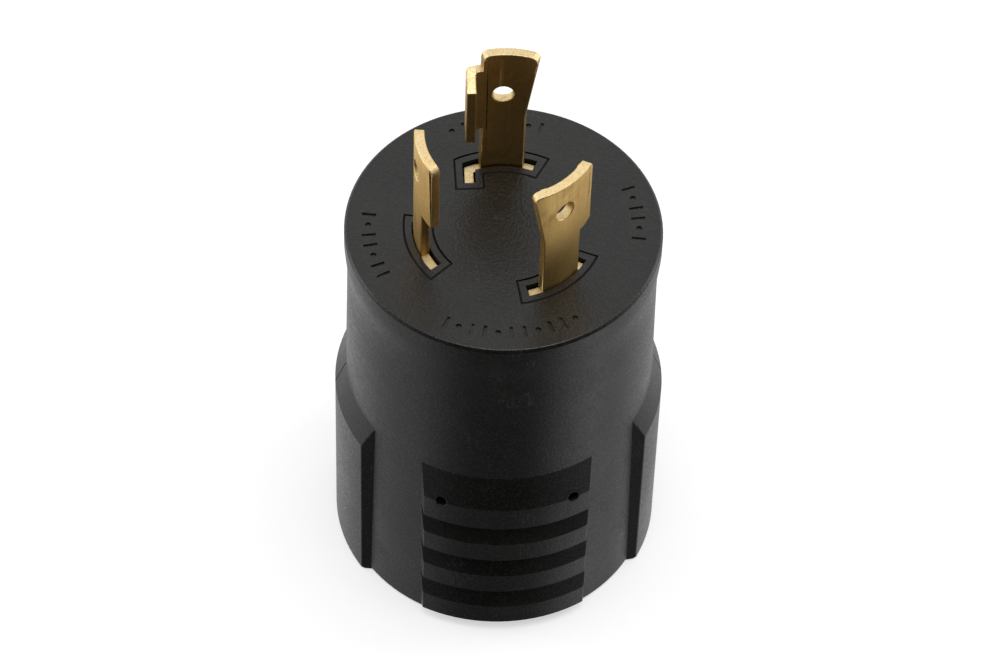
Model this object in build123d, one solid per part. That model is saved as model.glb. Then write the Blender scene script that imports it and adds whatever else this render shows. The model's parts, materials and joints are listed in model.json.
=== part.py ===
from build123d import *
from math import asin, atan2, cos, degrees, radians, sin, sqrt, tan
import os

# Moulded locking adapter: three curved blades on top, a four-slot locking receptacle below.
# Millimetres. +Z points out of the plug face, the origin is the centre of the receptacle face,
# and +Y points to the ground blade. An azimuth is counted from +X towards +Y.

# Jacket: the soft shell moulded over the inner parts
BODY_HEIGHT = 72.0
RIM_RADIUS = 25.0
NECK_WAIST = 0.45
BASE_FLARE = 0.35
RIM_BAND = 3.4
NECK_TAPER = 5.0
NECK_LENGTH = 3.6
EDGE_ROUND = 0.4
FACE_LAYER = 1.6
TUBE_WALL = 2.0
JACKET_WALL = 5.5

# Pads have side walls parallel to their middle, with a mould draft
WALL_DRAFT = 8.0
PAD_HALF_ANGLE = 42.0
PAD_OVERLAP = 1.0

# Wings on both sides, for twisting the adapter
WING_RISE = 1.25
WING_HALF_WIDTH = 13.45
WING_TOP = 34.0
WING_SLOPE = 4.7

# Ribbed grips on the front and back
GRIP_RISE = 1.35
GRIP_HALF_WIDTH = 13.25
GRIP_FIRST_STEP = 27.9
GRIP_PITCH = 8.65
GRIP_RIBS = 4
GRIP_RAMP = 4.25
GRIP_TOP_RAMP = 6.0
GRIP_TOP_LAND = 5.1
GRIP_HOLE_RADIUS = 0.9
GRIP_HOLE_ANGLE = 23.5
GRIP_HOLE_DEPTH = 3.5

# Parting line of the two mould halves, along the middle of both wings
PARTING_WIDTH = 0.2
PARTING_DEPTH = 0.1

# Blades: curved brass strips on one circle
BLADE_INNER = 12.6
BLADE_THICKNESS = 1.6
BLADE_CLEARANCE = 0.25
LUG_HEIGHT = 9.3
FLARE_HEIGHT = 11.5
LINE_BLADE_LENGTH = 22.6
GROUND_BLADE_LENGTH = 26.0
BASE_SINK = 0.8
SHOULDER_ANGLE = 1.5
BASE_INSET = 0.7
TIP_ROUND = 1.3
BLADE_HOLE_RADIUS = 1.7
BLADE_HOLE_HEIGHT = 16.9

HOT_SLOT = (-77.5, -30.5)
HOT_NECK = (-68.4, -38.7)
HOT_HEAD = (-76.2, -26.0)
HOT_HOLE = -53.6
HOT_TAIL = -38.0
NEUTRAL_SLOT = (174.5, 215.0)
NEUTRAL_NECK = (178.5, 200.5)
NEUTRAL_HEAD = (173.0, 213.4)
NEUTRAL_HOLE = 189.5
NEUTRAL_TAIL = 206.0
GROUND_SLOT_START = 65.0
GROUND_NECK = (73.0, 103.3)
GROUND_TIP_START = 64.7
GROUND_HOLE = 88.7
GROUND_TAIL = 90.0
GROUND_HOOK_X = -5.6
GROUND_HOOK_THICKNESS = 1.5
GROUND_HOOK_Y = 9.3
GROUND_HOOK_TOP = 22.8
GROUND_HOOK_SLOPE = 2.5
HOOK_ARC_END = 160.0

# Raised bosses of the blade carrier, flush with the plug face
BOSS_MARGIN = 1.6
BOSS_END_ANGLE = 6.0
BOSS_CHAMFER = 0.35

# Blade carrier and the plate behind it
CARRIER_DISC = 4.0
CARRIER_SKIRT = 6.0
CARRIER_WALL = 2.5
SHOULDER_DEPTH = 2.6
RETAINER_THICKNESS = 2.0

# Receptacle slots, in the contact carrier
SLOT_INNER = 11.7
SLOT_WIDTH = 3.6
LINE_SLOT_HALF = 6.9
NEUTRAL_SLOT_HALF = 5.8
GROUND_ENTRY_START = 62.0
GROUND_ENTRY_X = -8.3
GROUND_ENTRY_HOOK_WIDTH = 4.7
GROUND_ENTRY_Y = 7.6
SLOT_LIP = 0.6
LIP_GROOVE = 0.25

# Contact carrier: face plate, contact pockets and rear cover
FACE_PLATE = 8.5
CONTACT_DEPTH = 18.9
COVER_THICKNESS = 2.0
POCKET_BEFORE = 32.0
POCKET_AFTER = 45.0
POCKET_OUTER = 16.0
HOOK_POCKET = (100.0, 141.0)
HOOK_POCKET_INNER = 8.2

# Contacts: a fixed leaf, a web across the pocket, and a tail through the cover
CONTACT_BEFORE = 24.0
CONTACT_AFTER = 36.0
GROUND_CONTACT = (62.0, 101.0)
FIXED_LEAF = 0.8
WEB_THICKNESS = 1.0
CONTACT_FLANGE = 0.6
FLANGE_DEPTH = 4.0
LEAF_FACE_GAP = 0.9

# Sprung leaf facing the fixed one, with its steel backing spring
BLADE_SQUEEZE = 0.25
LEAF_THICKNESS = 0.7
LEAF_ROOT_GAP = 0.3
LEAF_MOUTH = 1.5
LEAF_MOUTH_FLARE = 0.5
SPRING_THICKNESS = 0.4
SPRING_MARGIN = 1.8
GROUND_LEAF = (64.0, 122.0)

# Wire joints: each tail and its conductor are held together by a crimp band
TAIL_WIDTH = 6.0
DOUBLE_TAIL_WIDTH = 9.0
TAIL_LENGTH = 7.0
BAND_WALL = 0.6
BAND_HEIGHT = 4.5
BAND_OFFSET = 1.1

# Wires, 10 AWG copper with insulation
CONDUCTOR_RADIUS = 1.3
INSULATION_RADIUS = 2.2
BARE_END = 0.8
INSULATION_GAP = 0.4
WIRE_BEND = 6.5
WIRE_STRAIGHT = 3.4
BRIDGE_RISE = 9.5
BRIDGE_BEND = 7.0
PAIR_OFFSET = 2.6
NEUTRAL_CONTACT_TAIL = 256.0
LINE_X_CONTACT = 180.0
LINE_Y_CONTACT = 0.0
NEUTRAL_CONTACT = 270.0

# Engraved dashes and dots, in place of moulded markings
MARK_INSET = 3.8
MARK_LENGTH = 2.2
MARK_WIDTH = 0.5
MARK_DEPTH = 0.3
MARK_PITCH = 5.6
DOT_RADIUS = 0.45
PLUG_MARKS = ((188, 7), (90, 8), (5, 6), (270, 11))
RECEPTACLE_MARKS = ((100, 7), (182, 8), (270, 8))

# Values worked out from the sizes above
NECK_RADIUS = RIM_RADIUS - NECK_WAIST
BASE_RADIUS = RIM_RADIUS + BASE_FLARE
CAVITY_RADIUS = RIM_RADIUS - JACKET_WALL
WING_RADIUS = BASE_RADIUS + WING_RISE
GRIP_RADIUS = BASE_RADIUS + GRIP_RISE
MARK_RADIUS = RIM_RADIUS - MARK_INSET
BLADE_OUTER = BLADE_INNER + BLADE_THICKNESS
BLADE_MIDDLE = BLADE_INNER + BLADE_THICKNESS / 2
SLOT_OUTER = SLOT_INNER + SLOT_WIDTH
PLUG_FACE = BODY_HEIGHT
CARRIER_TOP = PLUG_FACE - FACE_LAYER
CARRIER_FLOOR = CARRIER_TOP - CARRIER_DISC
CARRIER_BOTTOM = CARRIER_FLOOR - CARRIER_SKIRT
RETAINER_BOTTOM = CARRIER_FLOOR - RETAINER_THICKNESS
SHOULDER_TOP = CARRIER_FLOOR + SHOULDER_DEPTH
BLADE_TAIL_END = RETAINER_BOTTOM - TAIL_LENGTH
CONTACT_TOP = FACE_PLATE + CONTACT_DEPTH
COVER_TOP = CONTACT_TOP + COVER_THICKNESS
CONTACT_TAIL_END = COVER_TOP + TAIL_LENGTH
WEB_BOTTOM = CONTACT_TOP - WEB_THICKNESS
FIXED_LEAF_INNER = BLADE_INNER - FIXED_LEAF
LEAF_INNER = BLADE_OUTER - BLADE_SQUEEZE
LEAF_OUTER = LEAF_INNER + LEAF_THICKNESS
SPRING_OUTER = LEAF_OUTER + SPRING_THICKNESS
LEAF_TOP = WEB_BOTTOM - LEAF_ROOT_GAP
LEAF_BOTTOM = FACE_PLATE + LEAF_FACE_GAP
CONDUCTOR_AXIS = BLADE_INNER - CONDUCTOR_RADIUS


def body_radius(z):
    """Outer radius of the plain body at a height: straight taper, short flare, rim band."""
    neck_top = PLUG_FACE - RIM_BAND - NECK_TAPER
    neck_bottom = neck_top - NECK_LENGTH
    if z >= PLUG_FACE - RIM_BAND:
        return RIM_RADIUS
    if z >= neck_top:
        return NECK_RADIUS + (RIM_RADIUS - NECK_RADIUS) * (z - neck_top) / NECK_TAPER
    if z >= neck_bottom:
        return NECK_RADIUS
    return BASE_RADIUS + (NECK_RADIUS - BASE_RADIUS) * z / neck_bottom


def turned(points, az_from, az_to):
    """Solid swept about the Z axis by a closed outline of (radius, z) points."""
    section = Plane.XZ * make_face(Polyline(*points, close=True))
    return Rot(0, 0, az_from) * revolve(section, Axis.Z, az_to - az_from)


def ring_sector(r_in, r_out, z_low, z_high, az_from, az_to):
    """Piece of a round wall between two radii, two heights and two azimuths."""
    outline = [(r_in, z_low), (r_out, z_low), (r_out, z_high), (r_in, z_high)]
    return turned(outline, az_from, az_to)


def block(x_low, x_high, y_low, y_high, z_low, z_high):
    """Box between two corners."""
    centre = Pos((x_low + x_high) / 2, (y_low + y_high) / 2, (z_low + z_high) / 2)
    return centre * Box(x_high - x_low, y_high - y_low, z_high - z_low)


def disc(radius, z_low, z_high):
    """Solid cylinder on the Z axis between two heights."""
    return Pos(0, 0, (z_low + z_high) / 2) * Cylinder(radius, z_high - z_low)


def radial_hole(radius, azimuth, z, r_from, r_to):
    """Round pin that points along the radius at an azimuth and height."""
    pin = Rot(0, 90, 0) * Cylinder(radius, r_to - r_from)
    return Rot(0, 0, azimuth) * Pos((r_from + r_to) / 2, 0, z) * pin


def hooked(r_in, r_out, az_start, x_left, x_right, y_hook, z_low, z_high):
    """Prism of an arc whose far end turns in at x_left, with a straight leg down to y_hook."""
    arc = ring_sector(r_in, r_out, z_low, z_high, az_start, HOOK_ARC_END)
    arc = arc & block(x_left, 2 * r_out, 0, 2 * r_out, z_low, z_high)
    leg_top = (sqrt(r_in**2 - x_right**2) + sqrt(r_out**2 - x_left**2)) / 2
    return arc + block(x_left, x_right, y_hook, leg_top, z_low, z_high)


def flat_ended(azimuth, half_width, r_in, r_out, z_low, z_high):
    """Prism of an arc whose two ends are parallel to the radius through its middle."""
    spread = degrees(asin(half_width / r_in)) + 8
    arc = ring_sector(r_in, r_out, z_low, z_high, -spread, spread)
    arc = arc & block(0, 2 * r_out, -half_width, half_width, z_low, z_high)
    return Rot(0, 0, azimuth) * arc


def tab(azimuth, width, z_low, z_high):
    """Flat tail of the blade's thickness, standing on the blade circle."""
    flat = block(BLADE_INNER, BLADE_OUTER, -width / 2, width / 2, z_low, z_high)
    return Rot(0, 0, azimuth) * flat


# Jacket


def pad(outline, azimuth, half_width):
    """Pad on the body swept from an outline, between two side walls that spread towards the axis."""
    radius = max(point[0] for point in outline)
    height = max(point[1] for point in outline)
    draft = tan(radians(WALL_DRAFT))
    edge = sqrt(radius**2 - half_width**2)
    root = half_width + draft * edge
    tip = half_width - draft * (radius - edge)
    face = make_face(Polyline((0, -root), (radius, -tip), (radius, tip), (0, root), close=True))
    swept = turned(outline, -PAD_HALF_ANGLE, PAD_HALF_ANGLE)
    return Rot(0, 0, azimuth) * (swept & extrude(face, height))


def wing(azimuth):
    """Raised pad with a sloping top that meets the body."""
    slope_top = WING_TOP + WING_SLOPE
    outline = [
        (CAVITY_RADIUS + PAD_OVERLAP, 0),
        (WING_RADIUS - EDGE_ROUND, 0),
        (WING_RADIUS, EDGE_ROUND),
        (WING_RADIUS, WING_TOP),
        (body_radius(slope_top), slope_top),
        (CAVITY_RADIUS + PAD_OVERLAP, slope_top),
    ]
    return pad(outline, azimuth, WING_HALF_WIDTH)


def grip(azimuth):
    """Pad of saw-tooth ribs: each has a ramp, a land and a step that faces the receptacle."""
    lowest_step = GRIP_FIRST_STEP - GRIP_PITCH * (GRIP_RIBS - 1)
    outline = [(CAVITY_RADIUS + PAD_OVERLAP, lowest_step)]
    for rib in range(GRIP_RIBS):
        step = lowest_step + rib * GRIP_PITCH
        top_rib = rib == GRIP_RIBS - 1
        land_top = step + GRIP_TOP_LAND if top_rib else step + GRIP_PITCH - GRIP_RAMP
        ramp_top = land_top + GRIP_TOP_RAMP if top_rib else step + GRIP_PITCH
        outline.append((GRIP_RADIUS, step))
        outline.append((GRIP_RADIUS, land_top))
        outline.append((body_radius(ramp_top), ramp_top))
    outline.append((CAVITY_RADIUS + PAD_OVERLAP, outline[-1][1]))
    return pad(outline, azimuth, GRIP_HALF_WIDTH)


def parting_line(azimuth):
    """Hairline groove along one side of the jacket, from the receptacle face to the plug face."""
    slope_top = WING_TOP + WING_SLOPE
    neck_top = PLUG_FACE - RIM_BAND - NECK_TAPER
    outline = [
        (GRIP_RADIUS, 0),
        (WING_RADIUS - PARTING_DEPTH, 0),
        (WING_RADIUS - PARTING_DEPTH, WING_TOP),
        (body_radius(slope_top) - PARTING_DEPTH, slope_top),
        (NECK_RADIUS - PARTING_DEPTH, neck_top - NECK_LENGTH),
        (NECK_RADIUS - PARTING_DEPTH, neck_top),
        (RIM_RADIUS - PARTING_DEPTH, PLUG_FACE - RIM_BAND),
        (RIM_RADIUS - PARTING_DEPTH, PLUG_FACE),
        (GRIP_RADIUS, PLUG_FACE),
    ]
    half_angle = degrees(PARTING_WIDTH / 2 / RIM_RADIUS)
    return turned(outline, azimuth - half_angle, azimuth + half_angle)


def grip_holes():
    """Blind pin holes near both ends of the top rib of each grip."""
    height = GRIP_FIRST_STEP + GRIP_TOP_LAND
    middle = GRIP_RADIUS - GRIP_HOLE_DEPTH
    holes = []
    for azimuth in (90, 270):
        for side in (-GRIP_HOLE_ANGLE, GRIP_HOLE_ANGLE):
            holes.append(radial_hole(GRIP_HOLE_RADIUS, azimuth + side, height, middle, GRIP_RADIUS + 1))
    return holes


def marks(azimuth, count, z_low, z_high):
    """A row of dashes along a circle, every third one a dot."""
    row = []
    first = azimuth - MARK_PITCH * (count - 1) / 2
    for index in range(count):
        place = Rot(0, 0, first + index * MARK_PITCH) * Pos(MARK_RADIUS, 0, (z_low + z_high) / 2)
        if index % 3 == 1:
            row.append(place * Cylinder(DOT_RADIUS, z_high - z_low))
        else:
            row.append(place * Box(MARK_LENGTH, MARK_WIDTH, z_high - z_low))
    return row


def plug_bosses(z_low, z_high):
    """The three bosses of the blade carrier, around the slots for the blades."""
    r_in = BLADE_INNER - BOSS_MARGIN
    r_out = BLADE_OUTER + BOSS_MARGIN
    bosses = []
    for slot in (HOT_SLOT, NEUTRAL_SLOT):
        ends = (slot[0] - BOSS_END_ANGLE, slot[1] + BOSS_END_ANGLE)
        bosses.append(ring_sector(r_in, r_out, z_low, z_high, *ends))
    hook_right = GROUND_HOOK_X + GROUND_HOOK_THICKNESS
    bosses.append(
        hooked(r_in, r_out, GROUND_SLOT_START - BOSS_END_ANGLE, GROUND_HOOK_X - BOSS_MARGIN,
               hook_right + BOSS_MARGIN, GROUND_HOOK_Y - BOSS_MARGIN, z_low, z_high)
    )
    return bosses


def receptacle_slots(margin, z_low, z_high):
    """The four blade slots, grown all round by a margin: ground, neutral and two lines."""
    r_in = SLOT_INNER - margin
    r_out = SLOT_OUTER + margin
    grow_angle = degrees(margin / r_in)
    hook_right = GROUND_ENTRY_X + GROUND_ENTRY_HOOK_WIDTH
    ground = hooked(r_in, r_out, GROUND_ENTRY_START - grow_angle, GROUND_ENTRY_X - margin,
                    hook_right + margin, GROUND_ENTRY_Y - margin, z_low, z_high)
    neutral = flat_ended(NEUTRAL_CONTACT, NEUTRAL_SLOT_HALF + margin, r_in, r_out, z_low, z_high)
    slots = [ground, neutral]
    for azimuth in (LINE_X_CONTACT, LINE_Y_CONTACT):
        slots.append(flat_ended(azimuth, LINE_SLOT_HALF + margin, r_in, r_out, z_low, z_high))
    return slots


def make_jacket():
    """Soft outer shell, moulded over the carriers and the inner tube."""
    neck_top = PLUG_FACE - RIM_BAND - NECK_TAPER
    outline = [
        (0, 0),
        (BASE_RADIUS - EDGE_ROUND, 0),
        (BASE_RADIUS, EDGE_ROUND),
        (NECK_RADIUS, neck_top - NECK_LENGTH),
        (NECK_RADIUS, neck_top),
        (RIM_RADIUS, PLUG_FACE - RIM_BAND),
        (RIM_RADIUS, PLUG_FACE - EDGE_ROUND),
        (RIM_RADIUS - EDGE_ROUND, PLUG_FACE),
        (0, PLUG_FACE),
    ]
    jacket = turned(outline, 0, 360)
    jacket += [wing(0), wing(180), grip(90), grip(270)]
    jacket -= disc(CAVITY_RADIUS, FACE_LAYER, CARRIER_TOP)
    jacket -= plug_bosses(CARRIER_TOP, PLUG_FACE)
    jacket -= receptacle_slots(SLOT_LIP, 0, FACE_LAYER)
    jacket -= grip_holes()
    jacket -= [parting_line(0), parting_line(180)]
    for azimuth, count in PLUG_MARKS:
        jacket -= marks(azimuth, count, PLUG_FACE - MARK_DEPTH, PLUG_FACE)
    for azimuth, count in RECEPTACLE_MARKS:
        jacket -= marks(azimuth, count, 0, MARK_DEPTH)
    return jacket


# Plug end


def make_plug_core():
    """Hard carrier that holds the blades, with three bosses flush with the plug face."""
    core = disc(CAVITY_RADIUS, CARRIER_FLOOR, CARRIER_TOP)
    skirt = disc(CAVITY_RADIUS, CARRIER_BOTTOM, CARRIER_FLOOR)
    core += skirt - disc(CAVITY_RADIUS - CARRIER_WALL, CARRIER_BOTTOM, CARRIER_FLOOR)
    for boss in plug_bosses(CARRIER_TOP, PLUG_FACE):
        top_edges = boss.faces().sort_by(Axis.Z)[-1].edges()
        core += chamfer(top_edges, BOSS_CHAMFER)
    slot_in = BLADE_INNER - BLADE_CLEARANCE
    slot_out = BLADE_OUTER + BLADE_CLEARANCE
    for slot in (HOT_SLOT, NEUTRAL_SLOT):
        core -= ring_sector(slot_in, slot_out, SHOULDER_TOP, PLUG_FACE, *slot)
        core -= shoulder(slot)
    hook_right = GROUND_HOOK_X + GROUND_HOOK_THICKNESS
    core -= hooked(slot_in, slot_out, GROUND_SLOT_START, GROUND_HOOK_X - BLADE_CLEARANCE,
                   hook_right + BLADE_CLEARANCE, GROUND_HOOK_Y - BLADE_CLEARANCE,
                   SHOULDER_TOP, PLUG_FACE)
    core -= ground_shoulder()
    return core


def shoulder(slot):
    """Widest stretch of a line blade, trapped between the carrier and the retainer."""
    ends = (slot[0] - SHOULDER_ANGLE, slot[1] + SHOULDER_ANGLE)
    return ring_sector(BLADE_INNER, BLADE_OUTER, CARRIER_FLOOR, SHOULDER_TOP, *ends)


def ground_shoulder():
    """Widest stretch of the ground blade, hook included."""
    grow = SHOULDER_DEPTH * tan(radians(SHOULDER_ANGLE)) + BLADE_CLEARANCE
    hook_right = GROUND_HOOK_X + GROUND_HOOK_THICKNESS
    return hooked(BLADE_INNER, BLADE_OUTER, GROUND_SLOT_START - SHOULDER_ANGLE, GROUND_HOOK_X - grow,
                  hook_right + grow, GROUND_HOOK_Y - grow, CARRIER_FLOOR, SHOULDER_TOP)


def make_blade_retainer():
    """Plate pressed into the carrier's skirt behind the blades."""
    plate = disc(CAVITY_RADIUS - CARRIER_WALL, RETAINER_BOTTOM, CARRIER_FLOOR)
    for azimuth in (HOT_TAIL, NEUTRAL_TAIL, GROUND_TAIL):
        plate -= tab(azimuth, TAIL_WIDTH, RETAINER_BOTTOM, CARRIER_FLOOR)
    return plate


def flare(az_tip, az_neck, z_low, z_high):
    """Side of a blade's head that widens along a straight line up to the tip."""
    sector = ring_sector(BLADE_INNER, BLADE_OUTER, z_low, z_high, az_tip, az_neck)
    width = BLADE_OUTER * sin(radians(az_neck - az_tip))
    rise = (z_high - z_low) / width
    past = 2.0
    below = make_face(
        Polyline((-past, z_low - rise * past), (width + past, z_high + rise * past),
                 (width + past, z_low - past * rise), close=True)
    )
    side = Plane(origin=(0, 0, 0), x_dir=(0, -1, 0), z_dir=(-1, 0, 0))
    wedge = extrude(side * below, -2 * BLADE_OUTER)
    return sector - Rot(0, 0, az_neck) * wedge


def rounded_tip(blade, z_tip, az_from, az_to):
    """Blade with both corners of its tip rounded, at the azimuths of its two sides."""
    for azimuth, side in ((az_from, -1), (az_to, 1)):
        centre = (side * TIP_ROUND, z_tip - TIP_ROUND)
        outside = Pos(centre[0] - side * TIP_ROUND, centre[1] + TIP_ROUND)
        square = outside * Rectangle(2 * TIP_ROUND, 2 * TIP_ROUND)
        corner = square - Pos(*centre) * Circle(TIP_ROUND)
        face = Plane(origin=(0, 0, 0), x_dir=(0, -1, 0), z_dir=(-1, 0, 0))
        blade -= Rot(0, 0, azimuth) * extrude(face * corner, -2 * BLADE_OUTER)
    return blade


def make_line_blade(slot, neck, head, hole, tail):
    """Neutral or hot blade: tail, shoulders, base, neck and a head with a locking lug."""
    base_top = PLUG_FACE - BASE_SINK
    lug = PLUG_FACE + LUG_HEIGHT
    tip = PLUG_FACE + LINE_BLADE_LENGTH
    blade = ring_sector(BLADE_INNER, BLADE_OUTER, base_top - 0.5, lug, *neck)
    blade += ring_sector(BLADE_INNER, BLADE_OUTER, lug, tip, neck[0], head[1])
    blade += flare(head[0], neck[0], PLUG_FACE + FLARE_HEIGHT, tip)
    blade = rounded_tip(blade, tip, *head)
    blade += ring_sector(BLADE_INNER, BLADE_OUTER, SHOULDER_TOP, base_top,
                         slot[0] + BASE_INSET, slot[1] - BASE_INSET)
    blade += shoulder(slot)
    blade += tab(tail, TAIL_WIDTH, BLADE_TAIL_END, CARRIER_FLOOR)
    height = PLUG_FACE + BLADE_HOLE_HEIGHT
    return blade - radial_hole(BLADE_HOLE_RADIUS, hole, height, BLADE_INNER - 2, BLADE_OUTER + 2)


def make_ground_blade():
    """Longer ground blade: one side turns in as a hook, cut away below as the locking notch."""
    base_top = PLUG_FACE - BASE_SINK
    lug = PLUG_FACE + LUG_HEIGHT
    tip = PLUG_FACE + GROUND_BLADE_LENGTH
    hook_top = PLUG_FACE + GROUND_HOOK_TOP
    hook_right = GROUND_HOOK_X + GROUND_HOOK_THICKNESS
    blade = ring_sector(BLADE_INNER, BLADE_OUTER, base_top - 0.5, tip, *GROUND_NECK)
    blade += flare(GROUND_TIP_START, GROUND_NECK[0], PLUG_FACE + FLARE_HEIGHT, tip)
    blade = rounded_tip(blade, tip, GROUND_TIP_START, GROUND_NECK[1])
    head = hooked(BLADE_INNER, BLADE_OUTER, GROUND_NECK[0] + 5, GROUND_HOOK_X, hook_right,
                  GROUND_HOOK_Y, lug, hook_top)
    crown = block(2 * GROUND_HOOK_X, hook_right + 0.1, 0, 2 * BLADE_OUTER, 0, 2 * GROUND_HOOK_SLOPE)
    tilt = degrees(atan2(GROUND_HOOK_SLOPE, BLADE_OUTER - GROUND_HOOK_Y))
    head -= Pos(0, BLADE_OUTER - 1, hook_top) * Rot(tilt, 0, 0) * Pos(0, -1.5 * BLADE_OUTER, 0) * crown
    blade += head
    base = hooked(BLADE_INNER, BLADE_OUTER, GROUND_SLOT_START + BASE_INSET, GROUND_HOOK_X,
                  hook_right, GROUND_HOOK_Y, SHOULDER_TOP, base_top)
    blade += base
    blade += ground_shoulder()
    blade += tab(GROUND_TAIL, TAIL_WIDTH, BLADE_TAIL_END, CARRIER_FLOOR)
    height = PLUG_FACE + BLADE_HOLE_HEIGHT
    return blade - radial_hole(BLADE_HOLE_RADIUS, GROUND_HOLE, height, BLADE_INNER - 2, BLADE_OUTER + 2)


# Receptacle end


def pocket_ends(azimuth):
    """Azimuths where a contact pocket starts and ends; the longer side is where a blade turns to."""
    return azimuth - POCKET_BEFORE, azimuth + POCKET_AFTER


def make_receptacle_core():
    """Hard carrier of the four contacts, with a thick slotted face plate."""
    core = disc(CAVITY_RADIUS, FACE_LAYER, CONTACT_TOP)
    core += receptacle_slots(SLOT_LIP - LIP_GROOVE, 0, LIP_GROOVE)
    core += receptacle_slots(SLOT_LIP, LIP_GROOVE, FACE_LAYER)
    core -= receptacle_slots(0, 0, FACE_PLATE)
    for azimuth in (90.0, NEUTRAL_CONTACT, LINE_X_CONTACT, LINE_Y_CONTACT):
        core -= ring_sector(FIXED_LEAF_INNER, POCKET_OUTER, FACE_PLATE, CONTACT_TOP, *pocket_ends(azimuth))
    core -= ring_sector(HOOK_POCKET_INNER, POCKET_OUTER, FACE_PLATE, CONTACT_TOP, *HOOK_POCKET)
    return core


def make_contact_cover(tails):
    """Plate that closes the pockets and guides the contact tails."""
    cover = disc(CAVITY_RADIUS, CONTACT_TOP, COVER_TOP)
    for azimuth, width in tails:
        cover -= tab(azimuth, width, CONTACT_TOP, COVER_TOP)
    return cover


def make_contact(ends, leaf_ends, tail, width):
    """Stamped contact: fixed inner leaf, web, heel behind the sprung leaf, and tail."""
    contact = ring_sector(FIXED_LEAF_INNER, BLADE_INNER, LEAF_BOTTOM, WEB_BOTTOM, *ends)
    contact += ring_sector(FIXED_LEAF_INNER, POCKET_OUTER, WEB_BOTTOM, CONTACT_TOP, ends[0], leaf_ends[1])
    contact += ring_sector(POCKET_OUTER - CONTACT_FLANGE, POCKET_OUTER, WEB_BOTTOM - FLANGE_DEPTH,
                           WEB_BOTTOM, *leaf_ends)
    return contact + tab(tail, width, CONTACT_TOP, CONTACT_TAIL_END)


def make_leaf(ends):
    """Sprung outer leaf, with a flared mouth that leads the blade in."""
    bend = LEAF_BOTTOM + LEAF_MOUTH
    outline = [
        (LEAF_INNER + LEAF_MOUTH_FLARE, LEAF_BOTTOM),
        (LEAF_OUTER + LEAF_MOUTH_FLARE, LEAF_BOTTOM),
        (LEAF_OUTER, bend),
        (LEAF_OUTER, LEAF_TOP),
        (LEAF_INNER, LEAF_TOP),
        (LEAF_INNER, bend),
    ]
    return turned(outline, *ends)


def make_spring(ends):
    """Steel strip that backs the sprung leaf."""
    z_low = LEAF_BOTTOM + LEAF_MOUTH + SPRING_MARGIN
    inset = degrees(SPRING_MARGIN / LEAF_OUTER)
    return ring_sector(LEAF_OUTER, SPRING_OUTER, z_low, LEAF_TOP, ends[0] + inset, ends[1] - inset)


# Wiring


def band(azimuth, width, z_low):
    """Crimp band around a flat tail and the conductors that lie on its inner side."""
    r_in = BLADE_INNER - 2 * CONDUCTOR_RADIUS
    half = width / 2
    outer = block(r_in - BAND_WALL, BLADE_OUTER + BAND_WALL, -half - BAND_WALL, half + BAND_WALL,
                  z_low, z_low + BAND_HEIGHT)
    inner = block(r_in, BLADE_OUTER, -half, half, z_low, z_low + BAND_HEIGHT)
    return Rot(0, 0, azimuth) * (outer - inner)


def on_tail(azimuth, offset=0.0):
    """X and Y of a conductor that lies against the tail at an azimuth, offset sideways."""
    angle = radians(azimuth)
    x = CONDUCTOR_AXIS * cos(angle) - offset * sin(angle)
    y = CONDUCTOR_AXIS * sin(angle) + offset * cos(angle)
    return x, y


def wire_path(top, bottom, z_top, z_bottom):
    """Route between two tails: straight ends joined by a slanting run with round bends."""
    bend_top = BLADE_TAIL_END - WIRE_STRAIGHT
    bend_bottom = CONTACT_TAIL_END + WIRE_STRAIGHT
    if top == bottom:
        return Line((*top, z_top), (*bottom, z_bottom))
    points = [(*top, z_top), (*top, bend_top), (*bottom, bend_bottom), (*bottom, z_bottom)]
    return FilletPolyline(*points, radius=WIRE_BEND)


def bridge_path(start, end, z_low):
    """Route of the bridge: up from one contact, across, and down to the other."""
    rise = CONTACT_TAIL_END + BRIDGE_RISE
    points = [(*start, z_low), (*start, rise), (*end, rise), (*end, z_low)]
    return FilletPolyline(*points, radius=BRIDGE_BEND)


def tube(path, r_in, r_out):
    """Round wire or sleeve along a path."""
    section = Circle(r_out)
    if r_in > 0:
        section -= Circle(r_in)
    return sweep(Plane(origin=path @ 0, z_dir=path % 0) * section, path=path)


def make_wires():
    """Copper conductors and their insulation, keyed by node name."""
    bare_top = RETAINER_BOTTOM - BARE_END
    bare_bottom = COVER_TOP + BARE_END
    sleeve_top = BLADE_TAIL_END - INSULATION_GAP
    sleeve_bottom = CONTACT_TAIL_END + INSULATION_GAP
    routes = {
        "ground": (on_tail(GROUND_TAIL), on_tail(GROUND_TAIL)),
        "neutral": (on_tail(NEUTRAL_TAIL), on_tail(NEUTRAL_CONTACT_TAIL)),
        "hot": (on_tail(HOT_TAIL), on_tail(LINE_Y_CONTACT, -PAIR_OFFSET)),
    }
    wires = {}
    for name, (top, bottom) in routes.items():
        conductor = wire_path(top, bottom, bare_top, bare_bottom)
        sleeve = wire_path(top, bottom, sleeve_top, sleeve_bottom)
        wires[name + "_wire"] = tube(conductor, 0, CONDUCTOR_RADIUS)
        wires[name + "_insulation"] = tube(sleeve, CONDUCTOR_RADIUS, INSULATION_RADIUS)
    start = on_tail(LINE_Y_CONTACT, PAIR_OFFSET)
    end = on_tail(LINE_X_CONTACT)
    wires["bridge_wire"] = tube(bridge_path(start, end, bare_bottom), 0, CONDUCTOR_RADIUS)
    wires["bridge_insulation"] = tube(bridge_path(start, end, sleeve_bottom),
                                      CONDUCTOR_RADIUS, INSULATION_RADIUS)
    return wires


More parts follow.
